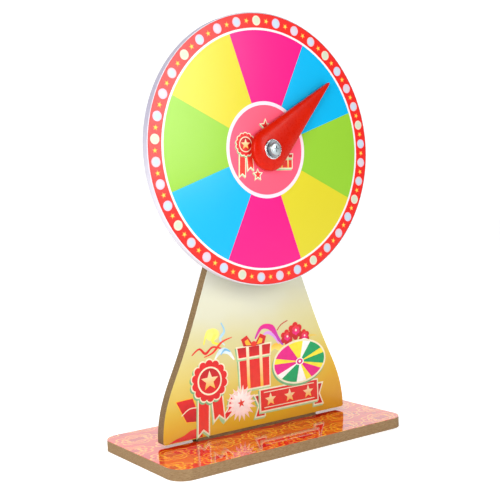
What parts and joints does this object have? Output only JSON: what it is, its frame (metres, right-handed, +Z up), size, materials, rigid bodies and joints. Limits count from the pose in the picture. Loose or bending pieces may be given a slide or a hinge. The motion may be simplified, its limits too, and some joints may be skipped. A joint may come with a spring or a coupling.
{
  "type": "game spinner",
  "caption": "Tabletop prize spinner: a round printed dial with coloured sectors fixed on a bell-shaped stand, with a teardrop pointer that spins on a ball bearing.",
  "frame": {"origin": "centre of the underside of the base board", "axes": "+Z up, +X to the right seen from the front, the dial faces -Y"},
  "size_m": [0.316, 0.168, 0.48],
  "materials": {
    "mdf": "raw fibreboard, sawn edges",
    "base_print": "glossy printed film, red with an orange line pattern",
    "stand_print": null,
    "foam_board": "white foamed board",
    "dial_print": "printed film, eight coloured sectors, lamp rim, hub disc",
    "zinc_steel": "zinc plated",
    "pivot_steel": "nickel plated",
    "bush_aluminium": "turned",
    "bearing_steel": "ground and polished",
    "cage_plastic": "moulded",
    "pointer_plastic": "glossy moulded plastic"
  },
  "bodies": {
    "frame": {"base_board": "mdf", "base_film": "base_print", "stand_board": "mdf", "stand_film": "stand_print", "spacer_disc_rear": "mdf", "spacer_disc_front": "mdf", "dial_board": "foam_board", "dial_film": "dial_print", "dial_fixing_screws": "zinc_steel", "pivot_screw": "pivot_steel", "front_washer": "pivot_steel", "rear_washer": "zinc_steel", "pivot_nut": "zinc_steel", "bearing_bush": "bush_aluminium", "bearing_inner_race": "bearing_steel"},
    "pointer": {"pointer_shell": "pointer_plastic", "bearing_outer_race": "bearing_steel", "bearing_shield_front": "bearing_steel", "bearing_shield_rear": "bearing_steel"},
    "ball_set": {"bearing_balls": "bearing_steel", "bearing_cage": "cage_plastic"}
  },
  "joints": [
    {"name": "pointer_spin", "type": "hinge", "parent": "frame", "child": "pointer", "pos_m": [0, -0.0496, 0.33], "axis": [0, 1, 0], "continuous": true},
    {"name": "ball_set_orbit", "type": "hinge", "parent": "frame", "child": "ball_set", "pos_m": [0, -0.0496, 0.33], "axis": [0, 1, 0], "continuous": true}
  ],
  "couplings": [
    {"joint": "ball_set_orbit", "follows": "pointer_spin", "ratio": 0.6323}
  ]
}
